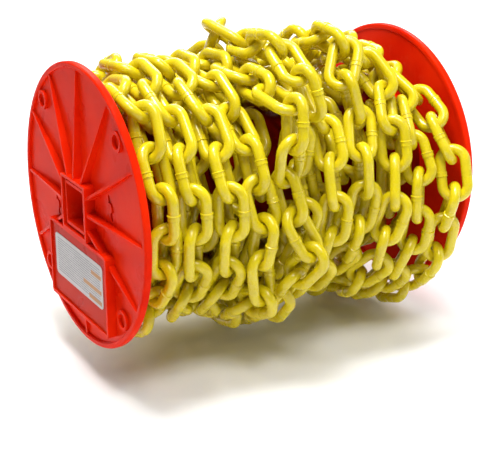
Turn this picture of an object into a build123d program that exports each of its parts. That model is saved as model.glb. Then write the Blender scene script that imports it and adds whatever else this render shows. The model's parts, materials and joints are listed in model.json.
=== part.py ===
from build123d import *
import os
from math import atan2, cos, hypot, pi, radians, sin
import numpy as np
from scipy.spatial import cKDTree

# Driving dimensions in mm. X is the reel axis, +Z is up, the origin is the middle of the axis.
flange_r = 110.0
rim_outer = 146.5
rim_inner = 140.5
rim_width = 4.6
web_inner = 141.5
web_outer = 144.1
hub_face = 152.5
hub_outer = 44.5
hub_wall = 2.4
sleeve_open = 30.5
sleeve_wall = 2.4
sleeve_step = 26.0
sleeve_end = 96.0
rib_thick = 2.2
rib_hub_top = 151.6
rib_rim_top = 146.0
plate_width = 107.0
plate_height = 65.0
plate_centre = -55.5
plate_face = 150.0
plate_border = 151.4
boss_circle = 96.0
boss_r = 7.8
boss_bore_r = 5.4
tie_hole_circle = 89.5
tie_hole_angle = 146.0
tie_hole_r = 4.2
drum_r = 54.0
drum_wall = 4.0
notch_angle = 15.0
wire_d = 8.2
bend_r = 9.85
half_straight = 9.4
link_gap = 0.28
crown_offset = 2 * bend_r - wire_d - link_gap - 0.14
bead_length = 4.6
bead_rise = 0.55
lanes = (25.5, 25.5)
half_travel = rim_inner - wire_d / 2 - 10.9
first_turn_angle = radians(200.0)
wander_seed = 1
links_per_node = 17

os.makedirs("parts", exist_ok=True)


# ---------------------------------------------------------------- reel flanges
def rib_top(r):
    """Height of the rib's upper edge at a radius."""
    run = (r - 22.0) / (105.8 - 22.0)
    return rib_hub_top + (rib_rim_top - rib_hub_top) * run


def build_flange(label_plate):
    """One flange with its outer face towards +Z, its web at web_inner to web_outer."""
    with BuildPart() as flange:
        with BuildSketch(Plane.XY.offset(web_inner)):
            Circle(flange_r - 1.0)
        extrude(amount=web_outer - web_inner)
        with BuildSketch(Plane.XZ):
            with BuildLine():
                Polyline(
                    (flange_r - rim_width, rim_inner + 0.7),
                    (flange_r - rim_width + 0.7, rim_inner),
                    (flange_r - 1.3, rim_inner),
                    (flange_r - 0.4, rim_inner + 0.4),
                    (flange_r, rim_inner + 1.3),
                    (flange_r, rim_outer - 1.3),
                    (flange_r - 0.4, rim_outer - 0.4),
                    (flange_r - 1.3, rim_outer),
                    (flange_r - rim_width + 0.8, rim_outer),
                    (flange_r - rim_width, rim_outer - 0.8),
                    close=True,
                )
            make_face()
        revolve(axis=Axis.Z, revolution_arc=360)
        # square outer hub wall and the deeper inner sleeve
        with BuildSketch(Plane.XY.offset(web_outer - 0.5)):
            RectangleRounded(hub_outer, hub_outer, 2.0)
            RectangleRounded(hub_outer - 2 * hub_wall, hub_outer - 2 * hub_wall, 1.0, mode=Mode.SUBTRACT)
        extrude(amount=hub_face - web_outer + 0.5)
        with BuildSketch(Plane.XY.offset(sleeve_end)):
            RectangleRounded(sleeve_open + 2 * sleeve_wall, sleeve_open + 2 * sleeve_wall, 1.6)
        extrude(amount=hub_face - 1.6 - sleeve_end)
        with BuildSketch(Plane.XY.offset(sleeve_end - 1.0)):
            RectangleRounded(sleeve_step, sleeve_step, 1.0)
        extrude(amount=hub_face - sleeve_end + 2.0, mode=Mode.SUBTRACT)
        with BuildSketch(Plane.XY.offset(rim_outer - 12.0)):
            RectangleRounded(sleeve_open, sleeve_open, 1.0)
        extrude(amount=30.0, mode=Mode.SUBTRACT)
        # twelve radial ribs, every thirty degrees
        for number in range(12):
            direction = number * 30.0
            rib_plane = Plane(origin=(0, 0, 0), x_dir=(cos(radians(direction)), sin(radians(direction)), 0),
                              z_dir=(sin(radians(direction)), -cos(radians(direction)), 0))
            start = (hub_outer / 2 - hub_wall / 2) / max(abs(cos(radians(direction))), abs(sin(radians(direction))))
            spans = [(start, 106.2)]
            if label_plate and direction == 240.0:
                spans = []
            if label_plate and direction == 300.0:
                spans = []
            if label_plate and direction == 270.0:
                spans = [(87.0, 106.2)]
            for r_in, r_out in spans:
                with BuildSketch(rib_plane):
                    with BuildLine():
                        Polyline((r_in, web_outer - 0.4), (r_out, web_outer - 0.4),
                                 (r_out, rib_top(r_out)), (r_in, rib_top(r_in)), close=True)
                    make_face()
                extrude(amount=rib_thick / 2, both=True)
        # four ring bosses between the ribs, near the rim
        with BuildSketch(Plane.XY.offset(web_outer - 0.4)):
            with PolarLocations(boss_circle, 4, start_angle=45):
                Circle(boss_r)
                Circle(boss_bore_r, mode=Mode.SUBTRACT)
        extrude(amount=rim_outer + 0.6 - web_outer)
        # seat ring that the drum slides onto, on the inner side
        with BuildSketch(Plane.XY.offset(web_inner - 7.0)):
            Circle(drum_r - drum_wall - 0.4)
            Circle(drum_r - drum_wall - 3.2, mode=Mode.SUBTRACT)
        extrude(amount=7.2)
        # arc slots with a half-round notch where the drum lugs show
        with BuildSketch(Plane.XY.offset(web_inner - 8.0)):
            for turn in (notch_angle, notch_angle + 180.0):
                with Locations(Location((0, 0, 0), (0, 0, turn))):
                    with Locations((drum_r - 2.0, 0)):
                        SlotOverall(20.0, 3.4, rotation=90)
                        Circle(4.6)
        extrude(amount=13.0, mode=Mode.SUBTRACT)
        # small tie hole with a pip beside it
        with BuildSketch(Plane.XY.offset(web_inner - 1.0)):
            with Locations((-6.2, 31.5)):
                Circle(2.6)
        extrude(amount=6.0, mode=Mode.SUBTRACT)
        with BuildSketch(Plane.XY.offset(web_outer - 0.3)):
            with Locations((-4.2, 28.0)):
                Circle(1.6)
        extrude(amount=1.8)
        if label_plate:
            with BuildSketch(Plane.XY.offset(web_outer - 0.5)):
                with Locations((0, plate_centre)):
                    RectangleRounded(plate_width, plate_height, 3.0)
            extrude(amount=plate_border - web_outer + 0.5)
            with BuildSketch(Plane.XY.offset(plate_face)):
                with Locations((0, plate_centre)):
                    RectangleRounded(plate_width - 5.0, plate_height - 5.0, 1.5)
            extrude(amount=6.0, mode=Mode.SUBTRACT)
            with BuildSketch(Plane.XY.offset(web_inner - 1.0)):
                with Locations((0, plate_centre)):
                    RectangleRounded(plate_width - 5.0, plate_height - 5.0, 1.5)
                Circle(drum_r + 3.0, mode=Mode.SUBTRACT)
            extrude(amount=plate_face - 2.2 - web_inner + 1.0, mode=Mode.SUBTRACT)
        if not label_plate:
            # through hole for tying the chain's free end, with a ring boss beside it
            with BuildSketch(Plane.XY.offset(web_inner - 1.0)):
                with PolarLocations(tie_hole_circle, 1, start_angle=tie_hole_angle):
                    Circle(tie_hole_r)
            extrude(amount=6.0, mode=Mode.SUBTRACT)
            with BuildSketch(Plane.XY.offset(web_inner - 0.7)):
                with PolarLocations(tie_hole_circle - 9.5, 1, start_angle=tie_hole_angle + 2.0):
                    Circle(8.0)
                    Circle(6.6, mode=Mode.SUBTRACT)
                with PolarLocations(tie_hole_circle, 1, start_angle=tie_hole_angle):
                    Circle(tie_hole_r + 0.4, mode=Mode.SUBTRACT)
            extrude(amount=0.9)
    return flange.part


to_left = Plane(origin=(0, 0, 0), x_dir=(0, -1, 0), z_dir=(-1, 0, 0))
to_right = Plane(origin=(0, 0, 0), x_dir=(0, 1, 0), z_dir=(1, 0, 0))

with BuildPart() as left_flange:
    add(build_flange(True).moved(Location(to_left)))
left_flange.part.label = "left_flange"
export_step(left_flange.part, "parts/left_flange.step")

with BuildPart() as right_flange:
    add(build_flange(False).moved(Location(to_right)))
right_flange.part.label = "right_flange"
export_step(right_flange.part, "parts/right_flange.step")

# ---------------------------------------------------------------- drum between the flanges
with BuildPart() as drum:
    with BuildSketch(Plane.YZ.offset(-web_inner + 0.3)):
        Circle(drum_r)
        Circle(drum_r - drum_wall, mode=Mode.SUBTRACT)
    extrude(amount=2 * web_inner - 0.6)
    for side, turn in ((-1, 180.0 - notch_angle), (1, notch_angle)):
        for opposite in (0.0, 180.0):
            angle = radians(turn + opposite)
            centre = (0, (drum_r - 2.0) * cos(angle), (drum_r - 2.0) * sin(angle))
            lug_plane = Plane(origin=(side * (web_inner - 3.0), centre[1], centre[2]),
                              x_dir=(0, 1, 0), z_dir=(side, 0, 0))
            with BuildSketch(lug_plane):
                Circle(3.9)
            extrude(amount=web_outer - web_inner + 3.0 + 1.0)
drum.part.label = "drum"
export_step(drum.part, "parts/drum.step")

# ---------------------------------------------------------------- sticker on the left flange
with BuildPart() as label:
    with BuildSketch(Plane(origin=(-plate_face - 0.02, 0, plate_centre + 4.5), x_dir=(0, -1, 0), z_dir=(-1, 0, 0))):
        RectangleRounded(89.0, 35.0, 4.0)
    extrude(amount=0.3)
label.part.label = "label"
export_step(label.part, "parts/label.step")


# ---------------------------------------------------------------- how the chain lies on the drum
def unit(v):
    """The same direction with length one."""
    return v / np.sqrt(v @ v)


def wrap(angle):
    """An angle difference brought into minus pi to pi."""
    return (angle + pi) % (2 * pi) - pi


def link_outline(arc_points, side_points):
    """Points on the wire's centreline, along the link (x) and across it (y)."""
    a = np.linspace(-pi / 2, pi / 2, arc_points)
    s = np.linspace(half_straight, -half_straight, side_points + 2)[1:-1]
    end = np.c_[half_straight + bend_r * np.cos(a), bend_r * np.sin(a)]
    side = np.c_[s, np.full(side_points, bend_r)]
    return np.vstack([end, side, -end, -side])


def smooth_noise(rng, count, width):
    """Random values that drift slowly along the chain, unit variance."""
    raw = rng.normal(0, 1, count + 6 * width)
    bell = np.exp(-0.5 * (np.arange(-3 * width, 3 * width + 1) / width) ** 2)
    return np.convolve(raw, bell / np.sqrt((bell**2).sum()), "valid")[:count]


outline = link_outline(17, 9)
clearance = wire_d + link_gap
lateral = np.linspace(0, 16.5, 34)
across = np.linspace(-7, 7, 57)


def lift_over(offset):
    """Height one strand needs above a wire that lies this far to its side."""
    room = clearance**2 - (offset - across) ** 2
    height = np.where(room > 0, np.abs(across) + np.sqrt(np.maximum(room, 0)), -1e3)
    return height.max()


lift_profile = np.array([lift_over(offset) for offset in lateral])
noise_bins = 64
rng = np.random.default_rng(wander_seed)
side_noise = smooth_noise(rng, 60 * noise_bins, 9)
lift_noise = smooth_noise(rng, 60 * noise_bins, 7)
roll_noise = smooth_noise(rng, 4000, 9)
layer_base = (drum_r + 13.4, drum_r + 43.0)
layer_wander = (0.5, 1.3)
layer_bounce = (0.2, 1.5)
layer_roll = (0.05, 0.45)
# how far the outer layer stands up on top, and hangs down underneath, along the axis
slack_x = (-130.0, -80.0, -30.0, 5.0, 45.0, 85.0, 125.0)
slack_top = (8.0, 9.0, 0.0, 0.0, 7.0, 2.0, 0.0)
slack_below = (-8.0, -4.0, 17.0, 8.0, 0.0, 22.0, 30.0)


def laid_run(turns):
    """Distance covered along the axis, to and fro, after this many turns; half passes alternate in layer."""
    steps = [0.0] + [half_travel / lanes[number % 2] for number in range(8)]
    return half_travel + np.interp(turns, np.cumsum(steps), half_travel * np.arange(9))


def layer_at(turns):
    """0 where the chain lies on the bare drum, 1 where it lies on the first layer."""
    passes = laid_run(turns) / (2 * half_travel)
    if passes < 1.0:
        return 0
    if passes < 1.5:
        return 1
    if passes < 2.0:
        return 0
    return 1


def noise_at(table, turns):
    """A noise table read at a number of turns."""
    place = max(0.0, turns) * noise_bins
    first = int(place)
    part = place - first
    return (1 - part) * table[first] + part * table[first + 1]


def lane_x(turns):
    """Where along the axis the chain is being laid after this many turns."""
    phase = laid_run(turns) % (4 * half_travel)
    x = -half_travel + (phase if phase < 2 * half_travel else 4 * half_travel - phase)
    x += layer_wander[layer_at(max(0.0, turns))] * noise_at(side_noise, turns)
    return max(-half_travel, min(half_travel, x))


def loose_r(turns, angle):
    """Radius the chain would lie at with nothing in the way; it hangs lower underneath."""
    layer = layer_at(turns)
    bounce = layer_bounce[layer] * max(-1.0, noise_at(lift_noise, turns))
    if layer == 0:
        return layer_base[0] + 0.5 * (1 - sin(angle)) + bounce
    x = lane_x(turns)
    above = np.interp(x, slack_x, slack_top)
    below = np.interp(x, slack_x, slack_below)
    return layer_base[1] + (above + below + (above - below) * sin(angle)) / 2 + bounce


def aim_link(previous, end, end_turns, target, roll):
    """A link hooked into the previous one, its far end near the target (x, radius) function."""
    pull = previous[1]
    end_angle = atan2(end[2], end[1])
    for _ in range(3):
        near = end + crown_offset * pull
        near_r = hypot(near[1], near[2])
        near_angle = atan2(near[2], near[1])
        near_turns = end_turns + wrap(near_angle - end_angle) / (2 * pi)
        far_turns = near_turns + 2 * half_straight / (2 * pi * near_r)
        x, r = target(far_turns)
        angle = end_angle + (far_turns - end_turns) * 2 * pi
        along = unit(np.array([x, r * cos(angle), r * sin(angle)]) - near)
        outward = np.array([0, cos(near_angle + 0.1), sin(near_angle + 0.1)])
        flat = unit(outward - (outward @ along) * along)
        normal = cos(roll) * flat + sin(roll) * np.cross(along, flat)
        pull = unit(np.cross(previous[2], normal))
        pull *= np.sign(pull @ previous[1])
    centre = end + crown_offset * pull + half_straight * along
    return centre, along, normal, pull


def wire_points(centre, along, normal):
    """Points on the centreline of one placed link."""
    return centre + outline[:, :1] * along + outline[:, 1:] * np.cross(normal, along)


def placement_options(layer):
    """Small changes of roll, side and height, the least disturbing first."""
    heights = (0, 1, 2, 4, 6) if layer == 0 else (-6, -4, -2, 0, 2, 4, 7)
    options = []
    for roll in (0, -0.16, 0.16, -0.32, 0.32, -0.5, 0.5, -0.75, 0.75):
        for side in (0, -2.5, 2.5, -5, 5, -8, 8):
            for height in heights:
                worth = height if height > 0 else 0.8 * height
                options.append((abs(roll) * 6 + abs(side) * 0.7 + worth, roll, side, height))
    return sorted(options)


options_by_layer = (placement_options(0), placement_options(1))


def wound_chain():
    """Centre, direction, normal and turn count of every link, laid one after another."""
    r0 = drum_r + 13.8
    outward = np.array([0, cos(first_turn_angle), sin(first_turn_angle)])
    along = np.array([0, -sin(first_turn_angle), cos(first_turn_angle)])
    normal = unit(cos(pi / 4) * outward + sin(pi / 4) * np.cross(along, outward))
    links = [(r0 * outward, along, normal, 0.0)]
    wires = [wire_points(*links[0][:3])]
    raised = {}
    tries = {}
    while True:
        i = len(links)
        centre0, along0, normal0, turns0 = links[-1]
        end = centre0 + half_straight * along0
        end_angle = atan2(end[2], end[1])
        if laid_run(turns0) > 5 * half_travel - 8 and radians(88) < end_angle < radians(112):
            return links
        end_r = hypot(end[1], end[2])
        end_turns = turns0 + wrap(end_angle - atan2(centre0[2], centre0[1])) / (2 * pi)
        layer = layer_at(end_turns)
        # the surface of the earlier turns along the next 100 mm of the lane
        ahead = np.arange(0, 100, 3.0)
        turns_ahead = end_turns + ahead / (2 * pi * end_r)
        x_ahead = np.array([lane_x(t) for t in turns_ahead])
        r_ahead = np.array([loose_r(t, end_angle + a / end_r) for t, a in zip(turns_ahead, ahead)])
        older = np.array([link[0] for link in links[: max(0, i - 4)]]).reshape(-1, 3)
        middle = end + 45 * np.array([0, -sin(end_angle), cos(end_angle)])
        close = np.where(((older - middle) ** 2).sum(1) < 105**2)[0]
        if len(close):
            below = np.vstack([wires[j] for j in close])
            below_r = np.hypot(below[:, 1], below[:, 2])
            below_s = wrap(np.arctan2(below[:, 2], below[:, 1]) - end_angle) * end_r
            apart = np.abs(below[None, :, 0] - x_ahead[:, None])
            under = (np.abs(below_s[None] - ahead[:, None]) < 7.0) & (apart < 12.0)
            top = below_r[None] + np.interp(apart, lateral, lift_profile) - 2.5
            r_ahead = np.maximum(r_ahead, np.where(under, top, 0).max(1) + 0.3)
        r_ahead = r_ahead + np.array([raised.get(int(t * 2 * pi * 15), 0.0) for t in turns_ahead])
        r_ahead = (r_ahead[None] - 0.42 * np.abs(ahead[None] - ahead[:, None])).max(1)
        roll0 = pi / 4 + layer_roll[layer] * roll_noise[i] + (pi / 2) * (i % 2)
        spots = np.array([link[0] for link in links])
        close = np.where(((spots - (end + 19 * along0)) ** 2).sum(1) < 62**2)[0]
        tree = cKDTree(np.vstack([wires[j] for j in close]))
        placed = None
        for _, roll, side, height in options_by_layer[layer]:

            def target(turns):
                x = lane_x(turns) + side
                r = np.interp((turns - end_turns) * 2 * pi * end_r, ahead, r_ahead) + height
                return max(-half_travel - 2, min(half_travel + 2, x)), r

            centre, along, normal, pull = aim_link(links[-1], end, end_turns, target, roll0 + roll)
            if pull @ along0 < 0.4 or pull @ along < 0.4:
                continue
            wire = wire_points(centre, along, normal)
            if np.hypot(wire[:, 1], wire[:, 2]).min() < drum_r + wire_d / 2 + 1.15:
                continue
            if np.abs(wire[:, 0]).max() > rim_inner - wire_d / 2 - 0.3:
                continue
            if tree.query(wire, distance_upper_bound=clearance)[0].min() < clearance:
                continue
            placed = (np.round(centre, 7), np.round(along, 9), np.round(normal, 9))
            break
        if placed is None:
            # raise this stretch a little, take back a few links and lay them again
            tries[i] = tries.get(i, 0) + 1
            key = int(end_turns * 2 * pi * 15)
            for step in range(-3, 8):
                weight = 1.0 if 0 <= step <= 5 else 0.5
                raised[key + step] = raised.get(key + step, 0) + 1.5 * weight
            for _ in range(min(1 + tries[i] % 4, len(links) - 1)):
                links.pop()
                wires.pop()
            continue
        gained = wrap(atan2(placed[0][2], placed[0][1]) - atan2(centre0[2], centre0[1]))
        links.append((*placed, turns0 + gained / (2 * pi)))
        wires.append(wire)


links = wound_chain()


# ---------------------------------------------------------------- the chain's free end
def hooked_link(previous, pitch, yaw, roll):
    """The next link with a chosen pitch above the surface, yaw along the axis, and roll."""
    end = previous[0] + half_straight * previous[1]
    pull = previous[1]
    for _ in range(4):
        near = end + crown_offset * pull
        angle = atan2(near[2], near[1])
        outward = np.array([0, cos(angle), sin(angle)])
        tangent = np.array([0, -sin(angle), cos(angle)])
        level = cos(yaw) * tangent + sin(yaw) * np.array([1.0, 0, 0])
        along = cos(pitch) * level + sin(pitch) * outward
        flat = unit(outward - (outward @ along) * along)
        normal = cos(roll) * flat + sin(roll) * np.cross(along, flat)
        pull = unit(np.cross(previous[2], normal))
        pull *= np.sign(pull @ previous[1])
    near = end + crown_offset * pull
    return near + half_straight * along, along, normal, near


def turned(points, pivot, axis, angle):
    """Points turned about an axis through a pivot."""
    arm = points - pivot
    along = (arm @ axis)[:, None] * axis
    return pivot + along + cos(angle) * (arm - along) + sin(angle) * np.cross(axis, arm)


def lift_joint(number, link, near, before):
    """Pivot and axis a free link lifts about: the middle of a crown, and that link's normal."""
    pivot, normal = (near, link[2]) if number != 1 else (before[0] + half_straight * before[1], before[2])
    rise = np.cross(normal, link[0] - pivot) @ np.array([0, link[0][1], link[0][2]])
    return pivot, normal if rise > 0 else -normal


def lifts_clear(wire, joints, wound, free_wires):
    """True if a free link stays clear of the others while each joint up to its own lifts."""
    for number, (pivot, axis) in enumerate(joints):
        for lift in np.radians((4, 9, 15, 22, 30, 40, 50, 60)):
            moved = turned(wire, pivot, axis, lift)
            if wound.query(moved)[0].min() < clearance + 0.04:
                return False
            for other in free_wires[:number]:
                if cKDTree(other).query(moved)[0].min() < clearance + 0.04:
                    return False
    return True


def free_end(chain, wishes):
    """Links hooked on after the winding, each as near its wish as the others allow, and free to lift."""
    laid = [link[:3] for link in chain]
    wound = cKDTree(np.vstack([wire_points(*link) for link in laid]))
    placed = []
    free_wires = []
    joints = []
    for number, (pitch0, roll0) in enumerate(wishes):
        options = []
        for pitch in np.radians(np.arange(-72, 73, 4.0)):
            for yaw in np.radians((-24, -16, -8, 0, 8, 16, 24)):
                for roll in np.radians(np.arange(-60, 61, 10.0)):
                    worth = abs(pitch - radians(pitch0)) + 0.7 * abs(yaw) + 0.9 * abs(roll)
                    options.append((worth, pitch, yaw, roll))
        best = None
        for _, pitch, yaw, roll in sorted(options):
            centre, along, normal, near = hooked_link(laid[-1], pitch, yaw, radians(roll0) + roll)
            wire = wire_points(centre, along, normal)
            if wound.query(wire)[0].min() < clearance + 0.08:
                continue
            if free_wires and cKDTree(np.vstack(free_wires)).query(wire)[0].min() < clearance + 0.08:
                continue
            joint = lift_joint(number, (centre, along, normal), near, laid[-1])
            if lifts_clear(wire, joints + [joint], wound, free_wires):
                best = (centre, along, normal, near)
                break
        if best is None:
            return []
        placed.append(best)
        laid.append(best[:3])
        free_wires.append(wire)
        joints.append(joint)
    return placed


end_wishes = ((24, 90), (-6, 0), (-35, 90))
end_links = free_end(links, end_wishes)
while not end_links:
    links.pop()
    end_links = free_end(links, end_wishes)

# ---------------------------------------------------------------- one coated link
with BuildPart() as link_blank:
    with BuildSketch(Plane.YZ.offset(-half_straight)):
        with Locations((bend_r, 0), (-bend_r, 0)):
            Circle(wire_d / 2)
    extrude(amount=2 * half_straight)
    for side in (1, -1):
        with BuildSketch(Plane(origin=(side * half_straight, 0, 0), x_dir=(0, 1, 0), z_dir=(side, 0, 0))):
            with Locations((bend_r, 0)):
                Circle(wire_d / 2)
        revolve(axis=Axis((side * half_straight, 0, 0), (0, 0, -side)), revolution_arc=180)
    # raised weld bead half way along one side, with a sharper ridge at one edge
    with BuildSketch(Plane.XY):
        with BuildLine():
            Polyline(
                (-bead_length / 2, bend_r + 1.0),
                (bead_length / 2, bend_r + 1.0),
                (bead_length / 2, bend_r + wire_d / 2 - 0.2),
                (bead_length / 2 - 0.5, bend_r + wire_d / 2 + bead_rise),
                (-bead_length / 2 + 1.3, bend_r + wire_d / 2 + bead_rise - 0.15),
                (-bead_length / 2 + 0.9, bend_r + wire_d / 2 + bead_rise + 0.25),
                (-bead_length / 2 + 0.5, bend_r + wire_d / 2 + bead_rise + 0.2),
                (-bead_length / 2, bend_r + wire_d / 2 - 0.2),
                close=True,
            )
        make_face()
    revolve(axis=Axis((0, bend_r, 0), (1, 0, 0)), revolution_arc=360)


def link_location(centre, along, normal, bead_side):
    """Where a link blank goes, with its weld bead on the given side."""
    return Location(Plane(origin=tuple(centre), x_dir=tuple(bead_side * along), z_dir=tuple(normal)))


def bead_sides(chain):
    """For every link, the side where the weld bead has the most room."""
    spots = np.array([link[0] for link in chain])
    wires = [wire_points(*link[:3]) for link in chain]
    sides = []
    for i, (centre, along, normal, _) in enumerate(chain):
        close = np.where(((spots - centre) ** 2).sum(1) < 60**2)[0]
        tree = cKDTree(np.vstack([wires[j] for j in close if j != i]))
        across = np.cross(normal, along)
        room = [tree.query(centre + side * bend_r * across)[0] for side in (1, -1)]
        radius = [hypot(*(centre + side * bend_r * across)[1:]) for side in (1, -1)]
        room = [min(gap, r - drum_r + 4.0) for gap, r in zip(room, radius)]
        prefer = 1 if (i * 7) % 5 < 3 else -1
        other = (room[0] if prefer == 1 else room[1]) < wire_d + bead_rise + 0.4
        best = 1 if room[0] > room[1] else -1
        sides.append(best if other else prefer)
    return sides


beads = bead_sides(links + [(*link[:3], 0.0) for link in end_links])
node_count = -(-len(links) // links_per_node)
for node in range(node_count):
    first = node * len(links) // node_count
    last = (node + 1) * len(links) // node_count
    places = [link_location(*links[i][:3], beads[i]) for i in range(first, last)]
    with BuildPart() as chain_turn:
        with Locations(*places):
            add(link_blank.part)
    chain_turn.part.label = f"chain_{node + 1:02d}"
    export_step(chain_turn.part, f"parts/chain_{node + 1:02d}.step")
for number, (centre, along, normal, _) in enumerate(end_links):
    with BuildPart() as end_link:
        with Locations(link_location(centre, along, normal, beads[len(links) + number])):
            add(link_blank.part)
    end_link.part.label = f"end_link_{number + 1}"
    export_step(end_link.part, f"parts/end_link_{number + 1}.step")
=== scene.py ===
import json
import math

import bpy
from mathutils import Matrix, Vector


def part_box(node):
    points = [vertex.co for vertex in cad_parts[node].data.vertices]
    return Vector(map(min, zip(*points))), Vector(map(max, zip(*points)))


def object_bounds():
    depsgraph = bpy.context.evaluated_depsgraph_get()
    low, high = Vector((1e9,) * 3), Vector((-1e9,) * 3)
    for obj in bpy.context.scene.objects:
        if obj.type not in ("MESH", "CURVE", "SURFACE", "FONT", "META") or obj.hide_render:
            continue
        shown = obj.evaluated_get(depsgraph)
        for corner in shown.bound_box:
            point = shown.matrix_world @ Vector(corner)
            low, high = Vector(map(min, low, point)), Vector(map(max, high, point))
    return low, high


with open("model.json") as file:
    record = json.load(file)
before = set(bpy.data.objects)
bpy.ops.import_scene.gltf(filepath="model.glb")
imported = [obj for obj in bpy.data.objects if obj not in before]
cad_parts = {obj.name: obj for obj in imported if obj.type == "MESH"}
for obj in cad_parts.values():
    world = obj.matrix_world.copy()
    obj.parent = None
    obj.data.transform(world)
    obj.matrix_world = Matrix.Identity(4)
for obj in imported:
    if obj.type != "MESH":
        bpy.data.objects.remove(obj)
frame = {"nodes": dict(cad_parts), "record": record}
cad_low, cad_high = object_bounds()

scene = bpy.context.scene
MM = 0.001


# ---------------------------------------------------------------- shader nodes
class Tree:
    """One material and short calls that add shader nodes to it."""

    def __init__(self, name):
        self.material = bpy.data.materials.new(name)
        self.material.use_nodes = True
        self.nodes = self.material.node_tree.nodes
        self.links = self.material.node_tree.links
        self.nodes.clear()
        self.output = self.add("ShaderNodeOutputMaterial")
        self.shader = self.add("ShaderNodeBsdfPrincipled")
        self.links.new(self.shader.outputs["BSDF"], self.output.inputs["Surface"])
        self.place = self.add("ShaderNodeTexCoord").outputs["Object"]

    def add(self, kind, **settings):
        node = self.nodes.new(kind)
        for key, value in settings.items():
            setattr(node, key, value)
        return node

    def put(self, socket, value):
        """Links another node's output to a socket, or sets the socket to a plain value."""
        if isinstance(value, bpy.types.NodeSocket):
            self.links.new(value, socket)
        else:
            socket.default_value = value

    def surface(self, **values):
        """Sets inputs of the shader; a name's underscores stand for spaces."""
        for name, value in values.items():
            self.put(self.shader.inputs[name.replace("_", " ")], value)

    def math(self, operation, a, b):
        node = self.add("ShaderNodeMath", operation=operation)
        self.put(node.inputs[0], a)
        self.put(node.inputs[1], b)
        return node.outputs[0]

    def noise(self, scale, detail=3.0, roughness=0.5, distortion=0.0, place=None):
        node = self.add("ShaderNodeTexNoise")
        self.put(node.inputs["Vector"], place or self.place)
        node.inputs["Scale"].default_value = scale
        node.inputs["Detail"].default_value = detail
        node.inputs["Roughness"].default_value = roughness
        node.inputs["Distortion"].default_value = distortion
        return node.outputs["Fac"]

    def ramp(self, value, low, high, start=0.0, end=1.0):
        """Goes from start to end while the value goes from low to high, and stays there beyond."""
        node = self.add("ShaderNodeMapRange", clamp=True)
        self.put(node.inputs["Value"], value)
        node.inputs["From Min"].default_value = low
        node.inputs["From Max"].default_value = high
        node.inputs["To Min"].default_value = start
        node.inputs["To Max"].default_value = end
        return node.outputs["Result"]

    def mix(self, share, first, second, blend="MIX"):
        node = self.add("ShaderNodeMix", data_type="RGBA", blend_type=blend)
        self.put(node.inputs["Factor"], share)
        self.put(node.inputs["A"], first)
        self.put(node.inputs["B"], second)
        return node.outputs["Result"]

    def axes(self):
        """The place in metres as three separate outputs: X, Y and Z."""
        split = self.add("ShaderNodeSeparateXYZ")
        self.put(split.inputs[0], self.place)
        return split.outputs

    def within(self, spans, soft):
        """1 where each value is inside its span, fading out over a short distance at the span's ends."""
        share = 1.0
        for value, start, end in spans:
            share = self.math("MULTIPLY", self.ramp(value, start - soft, start + soft), share)
            share = self.math("MULTIPLY", self.ramp(value, end - soft, end + soft, 1.0, 0.0), share)
        return share

    def bump(self, height, distance, strength, below=None):
        node = self.add("ShaderNodeBump")
        node.inputs["Distance"].default_value = distance
        node.inputs["Strength"].default_value = strength
        self.put(node.inputs["Height"], height)
        if below is not None:
            self.put(node.inputs["Normal"], below)
        return node.outputs["Normal"]


# ---------------------------------------------------------------- chain
def chain_coat():
    """Glossy lemon-yellow polymer coat, slightly uneven in colour, with rubbed and dirty spots."""
    light_yellow = (0.76, 0.620, 0.008, 1)
    deep_yellow = (0.66, 0.530, 0.003, 1)
    olive_yellow = (0.56, 0.430, 0.003, 1)
    dirt = (0.30, 0.24, 0.010, 1)
    rubbed = (0.30, 0.26, 0.06, 1)
    t = Tree("coated_chain")
    broad = t.noise(18.0, 2.0)
    cloudy = t.noise(140.0, 3.0, 0.55)
    speck = t.noise(900.0, 2.0, 0.6)
    patches = t.ramp(t.noise(75.0, 4.0, 0.65, 0.4), 0.62, 0.70)
    scuffs = t.math("MULTIPLY", patches, t.ramp(speck, 0.40, 0.62))
    colour = t.mix(t.ramp(broad, 0.35, 0.65), deep_yellow, light_yellow)
    colour = t.mix(t.ramp(cloudy, 0.42, 0.72, 0.0, 0.5), colour, olive_yellow)
    colour = t.mix(t.ramp(speck, 0.66, 0.76, 0.0, 0.30), colour, dirt)
    colour = t.mix(t.math("MULTIPLY", scuffs, 0.38), colour, rubbed)
    rough = t.math("ADD", t.ramp(cloudy, 0.3, 0.7, 0.20, 0.34), t.math("MULTIPLY", scuffs, 0.25))
    waves = t.bump(t.noise(210.0, 2.0, 0.5, 0.3), 0.35 * MM, 0.55)
    t.surface(Base_Color=colour, Roughness=rough, Normal=t.bump(speck, 0.06 * MM, 0.35, waves))
    t.surface(IOR=1.52, Coat_Weight=0.22, Coat_Roughness=0.09)
    t.surface(Subsurface_Weight=0.06, Subsurface_Radius=(0.0012, 0.0009, 0.0002), Subsurface_Scale=0.6)
    return t.material


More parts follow.
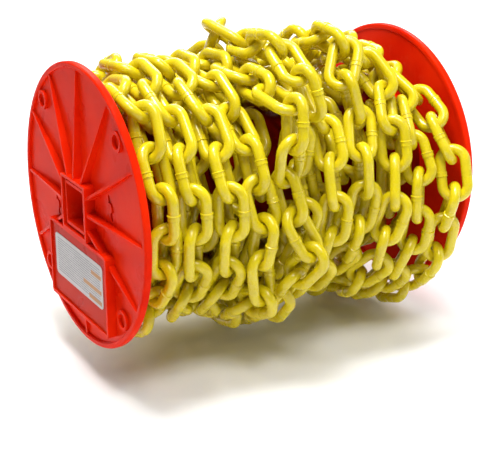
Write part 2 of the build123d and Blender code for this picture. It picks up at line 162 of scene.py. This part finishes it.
# ---------------------------------------------------------------- reel
def reel_plastic(name, painted_shade_spans, painted_shade_tint):
    """Glossy orange-red moulded plastic with flow marks, dust and handling scratches.

    Where the place is inside the spans, given as (axis, start, end), a tint darkens it as painted shade.
    """
    deep_red = (0.70, 0.011, 0.001, 1)
    bright_red = (0.83, 0.024, 0.002, 1)
    dusty_red = (0.80, 0.20, 0.12, 1)
    fade = 0.4 * MM
    t = Tree(name)
    axes = t.axes()
    flow = t.noise(14.0, 3.0, 0.5, 1.2)
    fine = t.noise(420.0, 3.0, 0.6)
    dust = t.math("MULTIPLY", t.ramp(t.noise(60.0, 4.0, 0.6), 0.56, 0.74), t.ramp(fine, 0.45, 0.65))
    colour = t.mix(t.ramp(flow, 0.3, 0.7), deep_red, bright_red)
    colour = t.mix(t.math("MULTIPLY", dust, 0.10), colour, dusty_red)
    # painted shade: the tint multiplies the colour inside the spans
    painted_shade_share = t.within([(axes[axis], start, end) for axis, start, end in painted_shade_spans], fade)
    colour = t.mix(painted_shade_share, colour, painted_shade_tint, "MULTIPLY")
    stretched = t.add("ShaderNodeMapping")
    t.put(stretched.inputs["Vector"], t.place)
    stretched.inputs["Rotation"].default_value = (0.7, 0.2, 0.4)
    stretched.inputs["Scale"].default_value = (1.0, 14.0, 1.0)
    scratches = t.ramp(t.noise(55.0, 5.0, 0.7, 0.0, stretched.outputs["Vector"]), 0.60, 0.68)
    rough = t.math("ADD", t.ramp(flow, 0.3, 0.7, 0.24, 0.34), t.math("MULTIPLY", scratches, 0.10))
    rough = t.math("ADD", rough, t.math("MULTIPLY", dust, 0.18))
    waves = t.bump(t.noise(38.0, 2.0, 0.5), 0.4 * MM, 0.30)
    t.surface(Base_Color=colour, Roughness=rough, Normal=t.bump(fine, 0.04 * MM, 0.30, waves))
    t.surface(IOR=1.46, Specular_IOR_Level=0.03)
    t.surface(Subsurface_Weight=0.08, Subsurface_Radius=(0.003, 0.0008, 0.0004), Subsurface_Scale=0.5)
    return t.material


def flange_plastic():
    """Reel plastic with painted shade, a darkening tint, on the web inside the sticker's raised frame."""
    half_width = 51.0 * MM
    half_height = 30.0 * MM
    drop = 4.5 * MM  # the sticker sits this far above the middle of its frame
    reach = 1.0 * MM
    low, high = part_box("label")
    middle = (low.z + high.z) / 2 - drop
    pocket = [("X", low.x - reach, high.x + reach), ("Y", -half_width, half_width),
              ("Z", middle - half_height, middle + half_height)]
    # painted shade: the pocket inside the raised frame is darkened by the tint
    return reel_plastic("reel_plastic", pocket, (0.70, 0.80, 0.90, 1))


def drum_plastic():
    """Reel plastic with painted shade on the tube that lies under the chain; the lugs at its ends keep the
    plain red.
    """
    lug_length = 8.0 * MM
    low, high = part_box("drum")
    tube = [("X", low.x + lug_length, high.x - lug_length)]
    # painted shade: the tube under the chain is darkened by the tint
    return reel_plastic("drum_plastic", tube, (0.30, 0.34, 0.40, 1))


# ---------------------------------------------------------------- sticker
def label_print():
    """Pale sticker ruled with generic grey lines, with three warm bars at its right end and no lettering."""
    paper_grey = (0.47, 0.45, 0.44, 1)
    paper_pale = (0.56, 0.54, 0.53, 1)
    line_grey = (0.13, 0.13, 0.15, 1)
    bar_brown = (0.44, 0.20, 0.055, 1)
    # millimetres from the sticker's middle
    line_count = 15
    lines_in_block = 5
    line_pitch = 1.95
    line_height = 0.85
    first_line_top = 14.2
    line_end = 40.0
    last_line_cut = 9.0
    bar_end = 42.0
    half_bar = 1.7
    bars = ((7.1, 24.0), (-4.8, 9.0), (-13.5, 19.0))  # each bar's height and left end
    t = Tree("label")
    low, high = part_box("label")
    middle = (low + high) / 2
    axes = t.axes()
    across = t.math("SUBTRACT", middle.y, axes["Y"])
    up = t.math("SUBTRACT", axes["Z"], middle.z)

    def box(left, right, bottom, top):
        """A rectangle with slightly soft edges."""
        return t.within([(across, left * MM, right * MM), (up, bottom * MM, top * MM)], 0.15 * MM)

    colour = t.mix(t.ramp(t.noise(60.0, 4.0, 0.6), 0.3, 0.7), paper_grey, paper_pale)
    grain = t.ramp(t.noise(1500.0, 1.0), 0.28, 0.50)
    for number in range(line_count):
        top = first_line_top - line_pitch * number
        ends_block = number % lines_in_block == lines_in_block - 1
        right = line_end - (last_line_cut if ends_block else 0.0)
        ink = t.math("MULTIPLY", box(-line_end, right, top - line_height, top), grain)
        colour = t.mix(t.math("MULTIPLY", ink, 0.85), colour, line_grey)
    for centre, left in bars:
        colour = t.mix(box(left, bar_end, centre - half_bar, centre + half_bar), colour, bar_brown)
    rough = t.ramp(t.noise(120.0, 3.0), 0.3, 0.7, 0.42, 0.58)
    t.surface(Base_Color=colour, Roughness=rough, Normal=t.bump(t.noise(45.0, 2.0), 0.4 * MM, 0.25))
    return t.material


finishes = {"coated_chain": chain_coat(), "reel_plastic": flange_plastic(), "drum_plastic": drum_plastic(),
            "label": label_print()}
slots = {entry["node"]: entry["material_slot"] for entry in frame["record"]["subparts"]}
for name, node in frame["nodes"].items():
    node.data.materials.clear()
    node.data.materials.append(finishes[slots[name]])


# ---------------------------------------------------------------- floor and background
def pale_floor(height, half):
    """A matt white square floor."""
    t = Tree("pale_floor")
    t.surface(Base_Color=t.mix(t.noise(6.0, 3.0), (0.90, 0.90, 0.90, 1), (0.93, 0.93, 0.93, 1)))
    t.surface(Roughness=0.75, Specular_IOR_Level=0.2)
    mesh = bpy.data.meshes.new("floor")
    corners = [(-half, -half, height), (half, -half, height), (half, half, height), (-half, half, height)]
    mesh.from_pydata(corners, [], [(0, 1, 2, 3)])
    mesh.materials.append(t.material)
    floor = bpy.data.objects.new("floor", mesh)
    scene.collection.objects.link(floor)


floor_gap = 0.6 * MM
floor_z = cad_low.z - floor_gap
pale_floor(floor_z, 6.0)

world = bpy.data.worlds.new("studio")
world.use_nodes = True
sky = world.node_tree.nodes["Background"]
sky.inputs["Color"].default_value = (1.0, 1.0, 1.0, 1.0)
sky.inputs["Strength"].default_value = 0.25
scene.world = world


# ---------------------------------------------------------------- lights
def soft_light(name, place, width, height, power, aim=(0.0, 0.0, 0.0)):
    """A rectangular soft box that looks at a point."""
    data = bpy.data.lights.new(name, "AREA")
    data.shape = "RECTANGLE"
    data.size = width
    data.size_y = height
    data.energy = power
    lamp = bpy.data.objects.new(name, data)
    lamp.location = place
    lamp.rotation_euler = (Vector(aim) - Vector(place)).to_track_quat("-Z", "Y").to_euler()
    scene.collection.objects.link(lamp)


soft_light("key", (-0.21, -0.72, 1.20), 0.45, 0.40, 9.6)
soft_light("top", (-0.16, -0.05, 1.20), 0.30, 0.50, 16.0)
soft_light("side", (1.25, -0.85, 0.55), 0.5, 0.8, 3.0)
soft_light("background", (1.1, 2.0, 1.6), 2.6, 1.4, 90.0, (1.0, 1.9, floor_z))

# ---------------------------------------------------------------- camera
azimuth = math.radians(-31.04)
elevation = math.radians(18.23)
distance = 0.9636
back = Vector((math.sin(azimuth) * math.cos(elevation), -math.cos(azimuth) * math.cos(elevation),
               math.sin(elevation)))
lens = bpy.data.cameras.new("camera")
lens.sensor_width = 36.0
lens.lens = 84.8
lens.shift_x = 0.008
lens.shift_y = -0.114
lens.clip_start = 0.05
lens.clip_end = 40.0
camera = bpy.data.objects.new("camera", lens)
camera.location = back * distance
camera.rotation_euler = (-back).to_track_quat("-Z", "Y").to_euler()
scene.collection.objects.link(camera)
scene.camera = camera
scene.view_settings.view_transform = "Standard"
